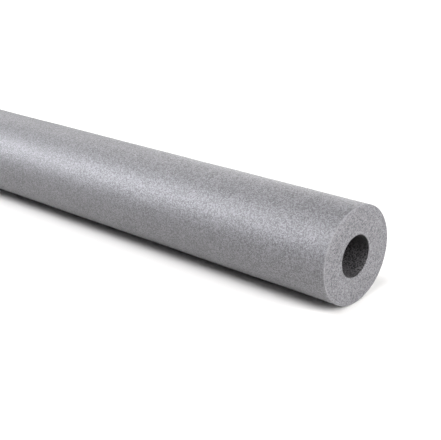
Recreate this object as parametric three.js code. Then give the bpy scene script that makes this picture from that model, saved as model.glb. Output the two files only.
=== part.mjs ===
// Pipe insulation lagging: one stock length of closed-cell foam tube, lying on its side on a level floor.
//
// The part's frame is in millimetres. X runs along the tube, Y across it and Z up. The origin is the middle
// of the line on which the tube lies.

import * as THREE from "three";

// The pipe that the lagging slides over, and the foam round it
const PIPE_DIAMETER = 28; // outside diameter of the pipe
const SLIDE_GAP = 0.5; // between the pipe and the bore, all round
const FOAM_WALL = 20; // thickness of the foam
const LENGTH = 1000; // stock length

// How far the knife leaves the foam's edges rounded, at both cut ends
const SKIN_EDGE_RADIUS = 0.8; // where the outer skin meets the cut face
const BORE_EDGE_RADIUS = 0.5; // where the bore meets the cut face

// How finely the round shapes are faceted
const SIDES_ROUND = 72; // flat sides round the tube
const STEPS_PER_EDGE = 3; // facets across a rounded edge

const BORE_RADIUS = PIPE_DIAMETER / 2 + SLIDE_GAP;
const OUTER_RADIUS = BORE_RADIUS + FOAM_WALL;
const HALF_LENGTH = LENGTH / 2;

const HALF_SIDE_ANGLE = Math.PI / SIDES_ROUND;
const AXIS_HEIGHT = OUTER_RADIUS * Math.cos(HALF_SIDE_ANGLE); // the tube lies on one of its flat sides

// A quarter round of the wall's section, turning left from the start angle.
function roundedEdge(centreOut, centreAlong, radius, startAngle) {
  return Array.from({ length: STEPS_PER_EDGE + 1 }, (_, step) => {
    const angle = startAngle + (Math.PI / 2) * (step / STEPS_PER_EDGE);
    return new THREE.Vector2(
      centreOut + radius * Math.cos(angle),
      centreAlong + radius * Math.sin(angle),
    );
  });
}

// The closed section of the foam wall: x is the distance out from the tube's axis, y is along the tube.
function wallSection() {
  const skinEdgeOut = OUTER_RADIUS - SKIN_EDGE_RADIUS;
  const skinEdgeAlong = HALF_LENGTH - SKIN_EDGE_RADIUS;
  const boreEdgeOut = BORE_RADIUS + BORE_EDGE_RADIUS;
  const boreEdgeAlong = HALF_LENGTH - BORE_EDGE_RADIUS;

  const section = [
    ...roundedEdge(skinEdgeOut, -skinEdgeAlong, SKIN_EDGE_RADIUS, -Math.PI / 2),
    ...roundedEdge(skinEdgeOut, skinEdgeAlong, SKIN_EDGE_RADIUS, 0),
    ...roundedEdge(boreEdgeOut, boreEdgeAlong, BORE_EDGE_RADIUS, Math.PI / 2),
    ...roundedEdge(boreEdgeOut, -boreEdgeAlong, BORE_EDGE_RADIUS, Math.PI),
  ];
  section.push(section[0].clone());
  return section;
}

// The foam tube: the wall's section turned round the tube's axis, then laid along X.
function foamTube() {
  const geometry = new THREE.LatheGeometry(wallSection(), SIDES_ROUND, HALF_SIDE_ANGLE);
  const foam = new THREE.MeshStandardMaterial({
    color: 0xa6a6ac,
    roughness: 0.75,
    metalness: 0,
  });
  const tube = new THREE.Mesh(geometry, foam);
  tube.name = "foam_tube";
  tube.rotation.z = -Math.PI / 2;
  tube.position.z = AXIS_HEIGHT;
  return tube;
}

const lagging = new THREE.Group();
lagging.add(foamTube());

export default lagging;
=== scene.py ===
"""One stock length of foam pipe lagging, lying on a pale studio floor.

Everything is in metres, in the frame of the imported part: X runs along the tube, Y across it and Z up.
The tube's wall is drawn as one flat section and spun round the axis. Soft waves in its skin, the open cells
of its cut ends and the strip that it lies on are real relief. The crepe of its skin is bump, because it is
finer than the mesh.
"""

import logging
import math
from collections.abc import Callable, Iterator
from contextlib import contextmanager
from dataclasses import dataclass
from enum import Enum

import bmesh
import bpy
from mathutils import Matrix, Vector


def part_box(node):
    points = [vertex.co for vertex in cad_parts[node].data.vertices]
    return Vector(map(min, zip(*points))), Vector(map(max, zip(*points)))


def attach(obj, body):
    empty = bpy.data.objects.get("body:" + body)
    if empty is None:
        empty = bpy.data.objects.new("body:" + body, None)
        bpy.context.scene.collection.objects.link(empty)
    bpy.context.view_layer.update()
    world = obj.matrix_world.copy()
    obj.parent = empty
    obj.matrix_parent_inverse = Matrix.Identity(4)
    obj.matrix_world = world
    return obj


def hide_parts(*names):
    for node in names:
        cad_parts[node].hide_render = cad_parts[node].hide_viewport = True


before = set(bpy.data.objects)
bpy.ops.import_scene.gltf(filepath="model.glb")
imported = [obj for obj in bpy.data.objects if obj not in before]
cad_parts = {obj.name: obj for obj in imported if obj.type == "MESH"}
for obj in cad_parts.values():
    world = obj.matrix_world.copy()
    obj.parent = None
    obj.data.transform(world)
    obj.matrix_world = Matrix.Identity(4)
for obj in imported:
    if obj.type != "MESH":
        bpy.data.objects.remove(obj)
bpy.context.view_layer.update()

LOG = logging.getLogger("lagging")

FOAM_NODE = "foam_tube"
BODY = "root"

MM = 0.001

Colour = tuple[float, float, float]
Point = tuple[float, float, float]

# Colours of light
NEUTRAL: Colour = (1.0, 1.0, 1.0)
COOL: Colour = (0.97, 0.985, 1.045)

# The skin's edge where the knife cut it, partly its own pale lip and partly a painted highlight where the
# rounded
# edge catches the light: its pale grey, how strongly it shows on the darkest specks, and how much more on
# the lightest
CUT_EDGE_AND_HIGHLIGHT: Colour = (0.240, 0.236, 0.249)
CUT_EDGE_AND_HIGHLIGHT_SHARE = 0.6
CUT_EDGE_AND_HIGHLIGHT_SPECKS = 0.5


class Surface(Enum):
    """The three faces that the foam shows, each with a finish of its own."""

    SKIN = "extruded_skin"
    CUT = "knife_cut_end"
    BORE = "bore_skin"


class Pattern(Enum):
    """The patterns that relief comes in: soft lumps, or cells with walls."""

    LUMPS = "CLOUDS"
    CELLS = "VORONOI"


class Reach(Enum):
    """What a light shows in: all of it, the sheen of the foam alone, or its plain colour alone."""

    ALL = "all"
    SHEEN = "sheen"
    FILL = "fill"


class Element(Enum):
    """What an edit-mode selection is made of."""

    VERTEX = "VERT"
    EDGE = "EDGE"
    FACE = "FACE"


@contextmanager
def editing(piece: bpy.types.Object) -> Iterator[None]:
    """Opens a piece in edit mode, alone, and leaves edit mode again.

    Args:
        piece: The mesh object to edit.
    """
    bpy.ops.object.select_all(action="DESELECT")
    piece.select_set(True)
    bpy.context.view_layer.objects.active = piece
    bpy.ops.object.mode_set(mode="EDIT")
    yield
    bpy.ops.object.mode_set(mode="OBJECT")


def centre_of(item: bmesh.types.BMVert | bmesh.types.BMEdge | bmesh.types.BMFace) -> Vector:
    """The middle of a vertex, an edge or a face."""
    if isinstance(item, bmesh.types.BMVert):
        return item.co
    if isinstance(item, bmesh.types.BMFace):
        return item.calc_center_median()
    return (item.verts[0].co + item.verts[1].co) / 2


def select_where(kind: Element, test: Callable[[Vector], bool]) -> int:
    """Selects the open mesh's elements by place, and nothing else.

    Args:
        kind: Whether vertices, edges or faces are selected.
        test: Says whether an element whose middle is at that point is wanted.

    Returns:
        How many elements are selected.
    """
    bpy.ops.mesh.select_mode(type=kind.value)
    bpy.ops.mesh.select_all(action="DESELECT")
    data = bpy.context.edit_object.data
    mesh = bmesh.from_edit_mesh(data)
    items = {Element.VERTEX: mesh.verts, Element.EDGE: mesh.edges, Element.FACE: mesh.faces}[kind]
    found = [item for item in items if test(centre_of(item))]
    for item in found:
        item.select_set(True)
    mesh.select_flush_mode()
    bmesh.update_edit_mesh(data, loop_triangles=False, destructive=False)
    return len(found)


@dataclass(frozen=True)
class Value:
    """A socket of a material's graph that takes part in Python expressions.

    Attributes:
        graph: The graph that new nodes go to.
        socket: The output socket that carries the value.
    """

    graph: "FinishGraph"
    socket: bpy.types.NodeSocket

    def _maths(self, operation: str, first: "Value | float", second: "Value | float") -> "Value":
        """Adds one Math node and returns its result."""
        return self.graph.add("ShaderNodeMath", {"operation": operation}, {0: first, 1: second})["Value"]

    def __add__(self, other: "Value | float") -> "Value":
        """This value plus another."""
        return self._maths("ADD", self, other)

    def __radd__(self, other: "Value | float") -> "Value":
        """Another value plus this one."""
        return self._maths("ADD", other, self)

    def __sub__(self, other: "Value | float") -> "Value":
        """This value less another."""
        return self._maths("SUBTRACT", self, other)

    def __rsub__(self, other: "Value | float") -> "Value":
        """Another value less this one."""
        return self._maths("SUBTRACT", other, self)

    def __mul__(self, other: "Value | float") -> "Value":
        """This value times another."""
        return self._maths("MULTIPLY", self, other)

    def __rmul__(self, other: "Value | float") -> "Value":
        """Another value times this one."""
        return self._maths("MULTIPLY", other, self)

    def magnitude(self) -> "Value":
        """This value without its sign."""
        return self._maths("ABSOLUTE", self, 0.0)

    def ramp(self, low: float, high: float) -> "Value":
        """Rises smoothly from 0 to 1 as this value goes from low to high.

        Args:
            low: Where the rise starts.
            high: Where it ends.

        Returns:
            The eased share, from 0 to 1.
        """
        settings = {"interpolation_type": "SMOOTHSTEP", "clamp": True}
        ends = {"Value": self, "From Min": low, "From Max": high, "To Min": 0.0, "To Max": 1.0}
        return self.graph.add("ShaderNodeMapRange", settings, ends)["Result"]


class NodeOutputs:
    """The outputs of a new node, by name."""

    def __init__(self, graph: "FinishGraph", node: bpy.types.Node) -> None:
        """Keeps the node and its graph."""
        self.graph = graph
        self.node = node

    def __getitem__(self, name: str) -> Value:
        """The output socket of that name that is in use, as a value."""
        socket = next(s for s in self.node.outputs if s.enabled and s.name == name)
        return Value(self.graph, socket)


class FinishGraph:
    """The node graph of one finish: a Principled shader and what feeds it."""

    def __init__(self, name: str) -> None:
        """Starts an empty material.

        Args:
            name: The material's name.
        """
        self.material = bpy.data.materials.new(name)
        self.material.use_nodes = True
        self.tree = self.material.node_tree
        self.tree.nodes.clear()
        self.place = self.add("ShaderNodeTexCoord", {}, {})["Object"]

    def add(self, kind: str, settings: dict[str, object], inputs: dict[str | int, object]) -> NodeOutputs:
        """Adds one node.

        Args:
            kind: The node's type.
            settings: Properties of the node, which are set before its sockets.
            inputs: What goes into each socket, by name or by number: a value of this graph or a constant.

        Returns:
            The node's outputs.
        """
        node = self.tree.nodes.new(kind)
        for key, setting in settings.items():
            setattr(node, key, setting)
        for key, entry in inputs.items():
            if isinstance(key, int):
                socket = node.inputs[key]
            else:
                socket = next(s for s in node.inputs if s.enabled and s.name == key)
            if isinstance(entry, Value):
                self.tree.links.new(entry.socket, socket)
            else:
                socket.default_value = entry
        return NodeOutputs(self, node)

    def noise(self, size: float, detail: float, roughness: float = 0.5, distortion: float = 0.0) -> Value:
        """Cloudy noise in the object's own space.

        Args:
            size: The width of its largest lumps, in metres.
            detail: How many finer octaves are added.
            roughness: How strong each finer octave is.
            distortion: How far the lumps are pulled out of shape.

        Returns:
            The noise, from 0 to 1.
        """
        inputs = {
            "Vector": self.place,
            "Scale": 1 / size,
            "Detail": detail,
            "Roughness": roughness,
            "Distortion": distortion,
        }
        return self.add("ShaderNodeTexNoise", {"noise_dimensions": "3D"}, inputs)["Fac"]

    def cells(self, size: float, soft: float) -> Value:
        """Rounded cells in the object's own space.

        Args:
            size: The width of a cell, in metres.
            soft: How smoothly neighbouring cells run together.

        Returns:
            0 in the middle of a cell, and about 1 at its walls.
        """
        settings = {"voronoi_dimensions": "3D", "feature": "SMOOTH_F1"}
        inputs = {"Vector": self.place, "Scale": 1 / size, "Smoothness": soft}
        return self.add("ShaderNodeTexVoronoi", settings, inputs)["Distance"]

    def specks(self, size: float) -> Value:
        """Specks in the object's own space, each with a shade of its own.

        Args:
            size: The width of a speck, in metres.

        Returns:
            The shade, from 0 to 1.
        """
        settings = {"voronoi_dimensions": "3D", "feature": "F1"}
        inputs = {"Vector": self.place, "Scale": 1 / size}
        shades = self.add("ShaderNodeTexVoronoi", settings, inputs)["Color"]
        return self.add("ShaderNodeSeparateColor", {}, {"Color": shades})["Red"]

    def blend(self, share: Value, low: "Colour | Value", high: Colour) -> Value:
        """A colour between two.

        Args:
            share: 0 for the low colour, 1 for the high one.
            low: The first colour, which may be an earlier blend.
            high: The second colour.

        Returns:
            The blended colour.
        """
        ends = {
            "Factor": share,
            "A": low if isinstance(low, Value) else (*low, 1.0),
            "B": (*high, 1.0),
        }
        return self.add("ShaderNodeMix", {"data_type": "RGBA"}, ends)["Result"]

    def from_middle(self) -> Value:
        """How far a place is from the middle of the tube's length, in metres."""
        return self.add("ShaderNodeSeparateXYZ", {}, {"Vector": self.place})["X"].magnitude()

    def height(self) -> Value:
        """How high a place is above the floor, in metres."""
        return self.add("ShaderNodeSeparateXYZ", {}, {"Vector": self.place})["Z"]

    def share_out(self, outline: "Oval") -> Value:
        """How far a place is out from the tube's axis.

        Args:
            outline: The outline of the tube's skin, across the tube.

        Returns:
            0 on the axis and 1 on the skin.
        """
        scale = (0.0, 1 / outline.half_width, 1 / outline.half_height)
        axis = (0.0, 0.0, outline.height)
        away = self.vector_maths("SUBTRACT", {0: self.place, 1: axis})["Vector"]
        scaled = self.vector_maths("MULTIPLY", {0: away, 1: scale})["Vector"]
        return self.vector_maths("LENGTH", {0: scaled})["Value"]

    def vector_maths(self, operation: str, inputs: dict[int, object]) -> NodeOutputs:
        """Adds one Vector Math node and returns its outputs."""
        return self.add("ShaderNodeVectorMath", {"operation": operation}, inputs)

    def cut_edge_and_highlight(self, mask: Value, specks: Value) -> Value:
        """The mask of a cut edge's pale lip and painted highlight, with a strength of its own on each speck.
        """
        return mask * (CUT_EDGE_AND_HIGHLIGHT_SHARE + specks * CUT_EDGE_AND_HIGHLIGHT_SPECKS)

    def relief(self, height: Value, depth: float) -> Value:
        """Relief that is too fine for the mesh.

        Args:
            height: The height, from 0 to 1.
            depth: How deep the relief is, in metres.

        Returns:
            The normal that the shader takes.
        """
        inputs = {"Strength": 1.0, "Distance": depth, "Height": height}
        return self.add("ShaderNodeBump", {}, inputs)["Normal"]

    def finish(self, sockets: dict[str, object]) -> bpy.types.Material:
        """Ends the graph with its shader.

        Args:
            sockets: What goes into each socket of the shader: a value of this graph or a constant.

        Returns:
            The finished material.
        """
        shader = self.add("ShaderNodeBsdfPrincipled", {}, sockets)
        self.add("ShaderNodeOutputMaterial", {}, {"Surface": shader["BSDF"]})
        return self.material


@dataclass(frozen=True)
class Oval:
    """The outline of the tube across its length, as it lies.

    Attributes:
        half_width: Half of its width, along Y.
        half_height: Half of its height, along Z.
        height: The height of its middle above the floor.
    """

    half_width: float
    half_height: float
    height: float


@dataclass(frozen=True)
class SkinFinish:
    """The satin outside, finely crinkled where the foam met the air at the extruder.

    Attributes:
        half_length: Half of the tube's length, where the knife cut the skin.
        dark: The grey in the hollows of the crepe.
        light: The grey on its crests.
        rim: The pale grey of the cut edge, partly its own lip and partly a painted highlight where the edge
            catches the light.
        rim_width: The width of that edge, in metres.
        crepe_size: The width of a crinkle, in metres.
        crepe_depth: How deep it is, in metres.
        patch_size: The width of the faint patches in its grey, in metres.
        wrinkle_share: How much of the change in its grey comes from the wrinkles.
        speck_share: How much comes from the specks.
        patch_share: How much comes from the patches.
        roughness: The roughness of its darkest specks.
        speck_gloss: How much glossier its lightest specks are.
        patch_dulling: How much duller its patches are.
        refraction: Its index of refraction, which is high for a satin sheen.
    """

    half_length: float
    dark: Colour = (0.046, 0.045, 0.049)
    light: Colour = (0.237, 0.234, 0.250)
    rim: Colour = CUT_EDGE_AND_HIGHLIGHT
    rim_width: float = 2.0 * MM
    crepe_size: float = 0.66 * MM
    crepe_depth: float = 0.32 * MM
    patch_size: float = 24 * MM
    wrinkle_share: float = 0.38
    speck_share: float = 0.5
    patch_share: float = 0.12
    roughness: float = 0.51
    speck_gloss: float = 0.16
    patch_dulling: float = 0.04
    refraction: float = 1.65

    def material(self) -> bpy.types.Material:
        """Builds the material of the outer skin."""
        graph = FinishGraph(Surface.SKIN.value)
        crepe = graph.noise(self.crepe_size, detail=2.0, roughness=0.6, distortion=0.4)
        pores = graph.cells(self.crepe_size * 1.3, soft=0.3)
        specks = graph.specks(self.crepe_size)
        patches = graph.noise(self.patch_size, detail=2.0)

        wrinkles = (crepe * 0.6 + pores * 0.4).ramp(0.32, 0.68)
        shade = wrinkles * self.wrinkle_share + specks.ramp(0.3, 0.7) * self.speck_share
        shade = shade + patches * self.patch_share
        rim_start = self.half_length - self.rim_width
        # Paler band at the cut end: partly the skin's pale lip, partly a painted highlight on the rounded
        # edge.
        cut = graph.cut_edge_and_highlight(graph.from_middle().ramp(rim_start, self.half_length), specks)
        sockets = {
            "Base Color": graph.blend(cut, graph.blend(shade, self.dark, self.light), self.rim),
            "Roughness": self.roughness - specks * self.speck_gloss + patches * self.patch_dulling,
            "Normal": graph.relief(crepe * 0.7 + pores * 0.3, self.crepe_depth),
            "IOR": self.refraction,
        }
        return graph.finish(sockets)


@dataclass(frozen=True)
class CutFinish:
    """The matt ends, where a knife opened the foam's cells.

    Attributes:
        half_length: Half of the tube's length, where the uncut face lies.
        pit_depth: How deep the modelled pits go, in metres.
        outline: The outline of the tube's skin.
        dark: The grey inside an open cell.
        light: The grey of the walls between cells.
        rim: The pale edge where the skin was cut through, partly its own lip and partly a painted highlight
            where the edge catches the light.
        rim_width: The width of that edge, in metres.
        cell_size: The width of a cell, in metres.
        cell_depth: How deep the finest cells are, in metres.
        wall_share: How much of the change in its grey comes from the cells' walls.
        grain_share: How much comes from the grain.
        speck_share: How much comes from the specks.
        painted_pit_shade_share: How much comes from painted shade that darkens the modelled pits, more the
            deeper a place lies.
        roughness: The roughness of its smoothest grains.
        grain_dulling: How much duller its roughest grains are.
        refraction: Its index of refraction.
    """

    half_length: float
    pit_depth: float
    outline: Oval
    dark: Colour = (0.031, 0.0305, 0.033)
    light: Colour = (0.266, 0.263, 0.278)
    rim: Colour = CUT_EDGE_AND_HIGHLIGHT
    rim_width: float = 1.0 * MM
    cell_size: float = 0.8 * MM
    cell_depth: float = 0.35 * MM
    wall_share: float = 0.25
    grain_share: float = 0.25
    speck_share: float = 0.4
    painted_pit_shade_share: float = 0.1
    roughness: float = 0.72
    grain_dulling: float = 0.12
    refraction: float = 1.45

    def material(self) -> bpy.types.Material:
        """Builds the material of the cut ends."""
        graph = FinishGraph(Surface.CUT.value)
        cells = graph.cells(self.cell_size, soft=0.2)
        grain = graph.noise(self.cell_size, detail=1.0)
        specks = graph.specks(self.cell_size)
        # Painted shade: the deeper a place lies in the modelled pits, the darker its grey.
        clear_of_painted_pit_shade = graph.from_middle().ramp(self.half_length - self.pit_depth, self.half_length)

        walls = cells.ramp(0.15, 0.75) * self.wall_share + grain.ramp(0.35, 0.65) * self.grain_share
        shade = walls + specks.ramp(0.3, 0.7) * self.speck_share + clear_of_painted_pit_shade * self.painted_pit_shade_share
        rim_share = self.rim_width / self.outline.half_height
        # Paler ring at the face's edge: partly the skin's pale lip, partly a painted highlight on the
        # rounded edge.
        cut = graph.cut_edge_and_highlight(graph.share_out(self.outline).ramp(1 - rim_share, 1.0), specks)
        sockets = {
            "Base Color": graph.blend(cut, graph.blend(shade, self.dark, self.light), self.rim),
            "Roughness": self.roughness + grain * self.grain_dulling,
            "Normal": graph.relief(cells * 0.5 + grain * 0.5, self.cell_depth),
            "IOR": self.refraction,
        }
        return graph.finish(sockets)


@dataclass(frozen=True)
class BoreFinish:
    """The bore's own skin, duller and darker than the outside, with painted shade that darkens its roof and
    leaves its lower half paler.

    Attributes:
        axis_height: The height of the bore's axis above the floor, in metres.
        dark: The grey in its hollows.
        light: The grey on its crests.
        roof: The share of the light grey that the roof of the bore keeps under its painted shade.
        shade_fade: How far round the axis's level the painted shade blends in, in metres.
        grain_size: The width of its grain, in metres.
        grain_depth: How deep that grain is, in metres.
        roughness: The roughness of its smoothest grains.
        grain_dulling: How much duller its roughest grains are.
        refraction: Its index of refraction.
    """

    axis_height: float
    dark: Colour = (0.014, 0.0135, 0.014)
    light: Colour = (0.134, 0.129, 0.137)
    roof: float = 0.22
    shade_fade: float = 6.0 * MM
    grain_size: float = 0.9 * MM
    grain_depth: float = 0.3 * MM
    roughness: float = 0.55
    grain_dulling: float = 0.15
    refraction: float = 1.5

    def material(self) -> bpy.types.Material:
        """Builds the material of the bore."""
        graph = FinishGraph(Surface.BORE.value)
        grain = graph.noise(self.grain_size, detail=1.0)
        pores = graph.cells(self.grain_size, soft=0.3)

        # Painted shade: the roof of the bore is darker than its lower half.
        painted_roof_shade = graph.height().ramp(self.axis_height - self.shade_fade, self.axis_height + self.shade_fade)
        clear_of_painted_roof_shade = 1 - painted_roof_shade
        shade = grain.ramp(0.35, 0.65) * (self.roof + clear_of_painted_roof_shade * (1 - self.roof))
        sockets = {
            "Base Color": graph.blend(shade, self.dark, self.light),
            "Roughness": self.roughness + grain * self.grain_dulling,
            "Normal": graph.relief(grain * 0.6 + pores * 0.4, self.grain_depth),
            "IOR": self.refraction,
        }
        return graph.finish(sockets)


@dataclass(frozen=True)
class Relief:
    """One layer of relief that a Displace modifier presses into a face of the foam.

    Attributes:
        name: The name of the layer.
        on: The face of the foam that it goes into.
        pattern: The pattern that it comes in.
        size: The width of its lumps, in metres.
        height: The full range between its lowest and highest points, in metres.
        level: The pattern's value that stays where it is: 0.5 lifts and sinks, and 1 only sinks.
    """

    name: str
    on: Surface
    pattern: Pattern
    size: float
    height: float
    level: float = 0.5

    def press_into(self, piece: bpy.types.Object) -> None:
        """Adds the layer to the piece and applies it.

        Args:
            piece: The foam, which is active and in object mode.
        """
        texture = bpy.data.textures.new(self.name, type=self.pattern.value)
        texture.noise_scale = self.size
        modifier = piece.modifiers.new(self.name, "DISPLACE")
        modifier.texture = texture
        modifier.texture_coords = "LOCAL"
        modifier.direction = "NORMAL"
        modifier.mid_level = self.level
        modifier.strength = self.height
        modifier.vertex_group = self.on.value
        bpy.ops.object.modifier_apply(modifier=modifier.name)


@dataclass
class FoamTube:
    """The foam tube: one extruded piece with a bore right through it.

    Attributes:
        half_length: Half of its length, in metres.
        axis_height: The height of its axis above the floor.
        outer_radius: The radius of its skin.
        bore_radius: The radius of its bore.
        skin_edge: How far the knife left the outer edge rounded.
        bore_edge: The same for the bore's edge.
        steps_round: How many steps the section is spun in.
        end_zone: The length at each end that has finer steps along it.
        middle_zone: Half of the length of the middle stretch, which has coarser ones.
        edge_steps: How many facets each rounded edge has.
        edge_split: Where across a rounded edge one finish gives way to the next, as a share.
        merge_distance: How near two points of the spun seam are when they become one.
        flatness: How much lower and wider than round the soft foam lies, as a share.
        bore_drift: How far the extruder left the bore off the middle, along Y.
        pit_depth: How deep the open cells of the cut ends are.
        piece: The modelled piece, once its section is drawn.
    """

    half_length: float
    axis_height: float
    outer_radius: float
    bore_radius: float
    skin_edge: float = 0.8 * MM
    bore_edge: float = 0.5 * MM
    steps_round: int = 264
    end_zone: float = 40 * MM
    middle_zone: float = 150 * MM
    edge_steps: int = 4
    edge_split: float = 0.3
    merge_distance: float = 0.01 * MM
    flatness: float = 0.035
    bore_drift: float = -1.6 * MM
    pit_depth: float = 0.35 * MM
    piece: bpy.types.Object | None = None

    @classmethod
    def from_frame(cls) -> "FoamTube":
        """Reads the tube's sizes from the frame's solid.

        Returns:
            A tube of the same length, place, bore and outside.
        """
        low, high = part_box(FOAM_NODE)
        axis_height = (low.z + high.z) / 2
        corners = [vertex.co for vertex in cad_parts[FOAM_NODE].data.vertices]
        distances = [math.hypot(corner.y, corner.z - axis_height) for corner in corners]
        return cls(
            half_length=(high.x - low.x) / 2,
            axis_height=axis_height,
            outer_radius=max(distances),
            bore_radius=min(distances),
        )

    def outline(self) -> Oval:
        """The outline of the skin of the finished tube, an oval that is wider than it is high."""
        return Oval(
            half_width=self.outer_radius * (1 + self.flatness),
            half_height=self.outer_radius * (1 - self.flatness),
            height=self.axis_height * (1 - self.flatness),
        )

    def distance_out(self, point: Vector) -> float:
        """How far a point is from the tube's axis."""
        return math.hypot(point.y, point.z - self.axis_height)

    def build(self) -> bpy.types.Object:
        """Models the tube.

        Returns:
            The finished piece, with its place in its mesh.
        """
        self.draw_section()
        self.divide_section()
        self.spin_section()
        self.mark_surfaces()
        self.shift_bore()
        self.squash()
        self.press_relief()
        self.flatten_underside()
        bpy.ops.object.shade_smooth()
        return self.piece

    def draw_section(self) -> None:
        """Draws the wall's section above the axis: a long thin rectangle with rounded corners."""
        wall = self.outer_radius - self.bore_radius
        middle = self.axis_height + self.bore_radius + wall / 2
        bpy.ops.mesh.primitive_plane_add(
            size=1,
            location=(0, 0, middle),
            rotation=(math.pi / 2, 0, 0),
        )
        self.piece = bpy.context.object
        self.piece.name = "lagging_foam"
        self.piece.data.name = "lagging_foam"
        self.piece.scale = (2 * self.half_length, wall, 1)
        bpy.ops.object.transform_apply(location=True, rotation=True, scale=True)
        with editing(self.piece):
            select_where(Element.VERTEX, lambda point: point.z > middle)
            bpy.ops.mesh.bevel(offset=self.skin_edge, segments=self.edge_steps, affect="VERTICES")
            at_bore = self.axis_height + self.bore_radius + self.bore_edge / 2
            select_where(Element.VERTEX, lambda point: point.z < at_bore)
            bpy.ops.mesh.bevel(offset=self.bore_edge, segments=self.edge_steps, affect="VERTICES")
            bpy.ops.mesh.select_all(action="SELECT")
            bpy.ops.mesh.delete(type="ONLY_FACE")

    def divide_section(self) -> None:
        """Divides the section's straight edges, finely at the ends and across their cut faces.

        Each stretch of edges has a test for the middle of an edge, and the number of cuts that it takes.
        """
        hair = 0.005 * MM
        skin = self.axis_height + self.outer_radius - hair
        bore = self.axis_height + self.bore_radius + hair
        face = self.half_length - hair
        zone = self.half_length - self.end_zone
        middle = self.middle_zone
        stretches = (
            (lambda p: p.z > skin and abs(p.x) < middle, 29),
            (lambda p: p.z > skin and middle < abs(p.x) < zone, 61),
            (lambda p: p.z > skin and abs(p.x) > zone, 19),
            (lambda p: p.z < bore and abs(p.x) < middle, 5),
            (lambda p: p.z < bore and middle < abs(p.x) < zone, 9),
            (lambda p: p.z < bore and abs(p.x) > zone, 9),
            (lambda p: abs(p.x) > face, 33),
        )
        with editing(self.piece):
            for cut in (-zone, -middle, middle, zone):
                bpy.ops.mesh.select_all(action="SELECT")
                bpy.ops.mesh.bisect(plane_co=(cut, 0, 0), plane_no=(1, 0, 0))
            for test, cuts in stretches:
                select_where(Element.EDGE, test)
                bpy.ops.mesh.subdivide(number_cuts=cuts)

    def spin_section(self) -> None:
        """Spins the section round the axis, closes the seam and points the faces outwards."""
        with editing(self.piece):
            bpy.ops.mesh.select_all(action="SELECT")
            bpy.ops.mesh.spin(
                steps=self.steps_round,
                angle=2 * math.pi,
                center=(0, 0, self.axis_height),
                axis=(1, 0, 0),
            )
            bpy.ops.mesh.select_all(action="SELECT")
            bpy.ops.mesh.remove_doubles(threshold=self.merge_distance)
            bpy.ops.mesh.normals_make_consistent(inside=False)

    def surface_at(self, point: Vector) -> Surface:
        """The face of the foam that a point lies on.

        Args:
            point: A point on the spun tube, before any relief.

        Returns:
            The surface that its finish and its relief come from.
        """
        out = self.distance_out(point)
        if out < self.bore_radius + self.bore_edge * self.edge_split:
            return Surface.BORE
        if abs(point.x) > self.half_length - self.skin_edge * self.edge_split:
            return Surface.CUT
        return Surface.SKIN

    def mark_surfaces(self) -> None:
        """Gives each surface its vertex group, for the relief, and its material, for the finish."""
        finishes = {
            Surface.SKIN: SkinFinish(self.half_length),
            Surface.CUT: CutFinish(self.half_length, self.pit_depth, self.outline()),
            Surface.BORE: BoreFinish(self.outline().height),
        }
        for index, (surface, finish) in enumerate(finishes.items()):
            self.piece.data.materials.append(finish.material())
            self.piece.vertex_groups.new(name=surface.value)
            with editing(self.piece):
                select_where(Element.FACE, lambda point: self.surface_at(point) is surface)
                self.piece.active_material_index = index
                bpy.ops.object.material_slot_assign()
                self.piece.vertex_groups.active_index = index
                bpy.ops.object.vertex_group_assign()

    def shift_bore(self) -> None:
        """Drifts the bore off the middle, with the cut faces round it."""
        near_bore = self.bore_radius + self.bore_edge
        with editing(self.piece):
            select_where(Element.VERTEX, lambda point: self.distance_out(point) < near_bore)
            bpy.ops.transform.translate(
                value=(0, self.bore_drift, 0),
                use_proportional_edit=True,
                proportional_edit_falloff="LINEAR",
                proportional_size=self.outer_radius - self.bore_radius - self.skin_edge,
            )

    def squash(self) -> None:
        """Lets the tube lie a little lower and wider than round."""
        with editing(self.piece):
            bpy.ops.mesh.select_all(action="SELECT")
            bpy.ops.transform.resize(
                value=(1, 1 + self.flatness, 1 - self.flatness),
                center_override=(0, 0, 0),
            )

    def press_relief(self) -> None:
        """Presses the soft waves and the open cells into the foam."""
        layers = (
            Relief("skin_waves", Surface.SKIN, Pattern.LUMPS, 70 * MM, 0.5 * MM),
            Relief("skin_dents", Surface.SKIN, Pattern.LUMPS, 16 * MM, 0.13 * MM),
            Relief("knife_waver", Surface.CUT, Pattern.LUMPS, 9 * MM, 0.25 * MM),
            Relief("cut_cells", Surface.CUT, Pattern.CELLS, 1.5 * MM, self.pit_depth, level=1.0),
            Relief("bore_ripple", Surface.BORE, Pattern.LUMPS, 12 * MM, 0.3 * MM),
        )
        bpy.ops.object.select_all(action="DESELECT")
        self.piece.select_set(True)
        bpy.context.view_layer.objects.active = self.piece
        for layer in layers:
            layer.press_into(self.piece)

    def flatten_underside(self) -> None:
        """Flattens the strip that the tube lies on, level with the floor."""
        with editing(self.piece):
            select_where(Element.VERTEX, lambda point: point.z < 0)
            bpy.ops.transform.resize(value=(1, 1, 0), center_override=(0, 0, 0))

    def fit_to_frame(self) -> None:
        """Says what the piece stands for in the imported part."""
        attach(self.piece, BODY)
        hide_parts(FOAM_NODE)


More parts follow.
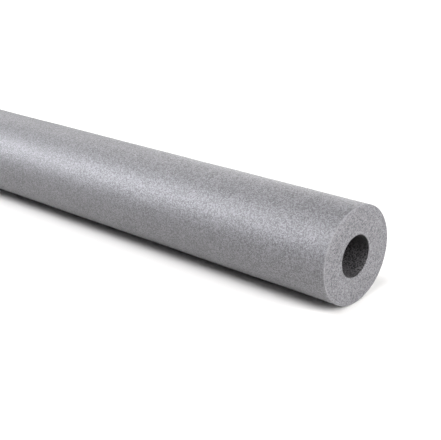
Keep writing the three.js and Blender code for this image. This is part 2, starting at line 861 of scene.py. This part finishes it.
@dataclass(frozen=True)
class Softbox:
    """A square studio light behind a diffuser.

    Attributes:
        name: The name of the light.
        place: Where it stands, in metres.
        power: Its power, in watts.
        tint: The colour of its light.
        reach: What it shows in.
        target: The point that it faces: the middle of the stretch that the photo shows, unless given.
        width: The width of its diffuser, in metres.
    """

    name: str
    place: Point
    power: float
    tint: Colour = NEUTRAL
    reach: Reach = Reach.ALL
    target: Point = (0.30, 0.0, 0.035)
    width: float = 0.8

    def build(self) -> None:
        """Adds the light to the scene."""
        bpy.ops.object.light_add(type="AREA", location=self.place)
        lamp = bpy.context.object
        lamp.name = self.name
        lamp.data.size = self.width
        lamp.data.energy = self.power
        lamp.data.color = self.tint
        aim = Vector(self.target) - Vector(self.place)
        lamp.rotation_euler = aim.to_track_quat("-Z", "Y").to_euler()
        lamp.visible_diffuse = self.reach is not Reach.SHEEN
        lamp.visible_glossy = self.reach is not Reach.FILL


@dataclass(frozen=True)
class Studio:
    """The pale floor, the light round it and the lamps.

    Attributes:
        floor_width: The width of the square floor, in metres.
        floor_gap: How far it lies below the tube, so that no two faces share a plane.
        floor_grey: Its linear grey.
        floor_roughness: Its roughness.
        floor_refraction: Its index of refraction.
        overhead_strength: The strength of the wide light overhead.
        overhead_angle: How wide that light is, in degrees.
        overhead_tilt: How far it leans towards the camera's side, in degrees.
        middle: The middle of the tube.
        far_stretch: The middle of the stretch that the photo doesn't show.
    """

    floor_width: float = 16.0
    floor_gap: float = 0.1 * MM
    floor_grey: Colour = (0.83, 0.82, 0.81)
    floor_roughness: float = 0.85
    floor_refraction: float = 1.3
    overhead_strength: float = 2.03
    overhead_angle: float = 30.0
    overhead_tilt: float = 26.6
    middle: Point = (0.0, 0.0, 0.035)
    far_stretch: Point = (-0.4, 0.0, 0.035)

    def build(self) -> None:
        """Adds the floor and the lights."""
        self.lay_floor()
        self.paint_room()
        self.hang_overhead()
        for softbox in (
            Softbox("low_sheen_softbox", (-0.956, -0.725, 0.711), 16.9, COOL, Reach.SHEEN),
            Softbox("front_sheen_softbox", (-0.680, -0.980, 0.835), 16.2, COOL, Reach.SHEEN),
            Softbox("front_left_softbox", (-0.591, -0.514, 1.261), 7.3, COOL),
            Softbox("back_left_softbox", (-0.900, 0.693, 0.835), 6.6),
            Softbox("back_softbox", (-0.473, 1.338, 0.449), 5.2),
            Softbox("low_end_fill", (1.845, 0.0, 0.449), 21.2, NEUTRAL, Reach.FILL),
            Softbox("high_end_fill", (1.561, 0.0, 1.020), 13.3, NEUTRAL, Reach.FILL),
            Softbox("far_end_fill", (-1.25, -0.20, 0.50), 10.0, NEUTRAL, Reach.FILL, self.far_stretch),
            Softbox("back_fill", (-0.10, 1.20, 0.35), 9.0, NEUTRAL, Reach.FILL, self.middle),
        ):
            softbox.build()

    def lay_floor(self) -> None:
        """Lays the floor just below the tube."""
        bpy.ops.mesh.primitive_plane_add(size=self.floor_width, location=(0, 0, -self.floor_gap))
        floor = bpy.context.object
        floor.name = "studio_floor"
        bpy.ops.object.transform_apply(location=True, rotation=True, scale=True)
        sockets = {
            "Base Color": (*self.floor_grey, 1.0),
            "Roughness": self.floor_roughness,
            "IOR": self.floor_refraction,
        }
        floor.data.materials.append(FinishGraph("pale_floor").finish(sockets))

    def paint_room(self) -> None:
        """Paints the room as pale as the far floor, so that no horizon shows. It sheds no light."""
        from_overhead = self.overhead_strength * math.cos(math.radians(self.overhead_tilt)) / math.pi
        world = bpy.data.worlds.new("room")
        bpy.context.scene.world = world
        world.use_nodes = True
        background = world.node_tree.nodes["Background"]
        background.inputs["Color"].default_value = (*self.floor_grey, 1.0)
        background.inputs["Strength"].default_value = from_overhead
        for ray in ("diffuse", "glossy", "transmission", "scatter"):
            setattr(world.cycles_visibility, ray, False)

    def hang_overhead(self) -> None:
        """Hangs the wide light over the floor."""
        bpy.ops.object.light_add(type="SUN", location=(0, 0, 2))
        lamp = bpy.context.object
        lamp.name = "overhead_diffuser"
        lamp.data.energy = self.overhead_strength
        lamp.data.angle = math.radians(self.overhead_angle)
        lamp.rotation_euler = (math.radians(self.overhead_tilt), 0, 0)


@dataclass(frozen=True)
class PhotoCamera:
    """The camera, where the photograph was taken from.

    Attributes:
        place: Where it stands, in metres.
        turn: How far it is turned from looking along +Y, in degrees.
        tilt: How far it looks down, in degrees.
        lens: Its focal length, in mm.
        sensor: The width of its sensor, in mm.
        nearest: The nearest thing that it shows, in metres.
    """

    place: Point = (0.7963, -0.4647, 0.2568)
    turn: float = 41.59
    tilt: float = 20.12
    lens: float = 75.67
    sensor: float = 36.0
    nearest: float = 0.01

    def build(self) -> None:
        """Adds the camera and makes it the scene's own."""
        data = bpy.data.cameras.new("photo_camera")
        data.lens = self.lens
        data.sensor_width = self.sensor
        data.sensor_fit = "HORIZONTAL"
        data.clip_start = self.nearest
        camera = bpy.data.objects.new("photo_camera", data)
        camera.location = self.place
        camera.rotation_euler = (math.radians(90 - self.tilt), 0, math.radians(self.turn))
        bpy.context.scene.collection.objects.link(camera)
        bpy.context.scene.camera = camera


def main() -> None:
    """Builds the camera, the tube and the studio, in that order."""
    logging.basicConfig(level=logging.INFO, format="%(message)s")
    bpy.context.scene.view_settings.view_transform = "Standard"
    PhotoCamera().build()

    tube = FoamTube.from_frame()
    piece = tube.build()
    tube.fit_to_frame()
    LOG.info("%s: %d faces", piece.name, len(piece.data.polygons))

    Studio().build()


if __name__ == "__main__":
    main()
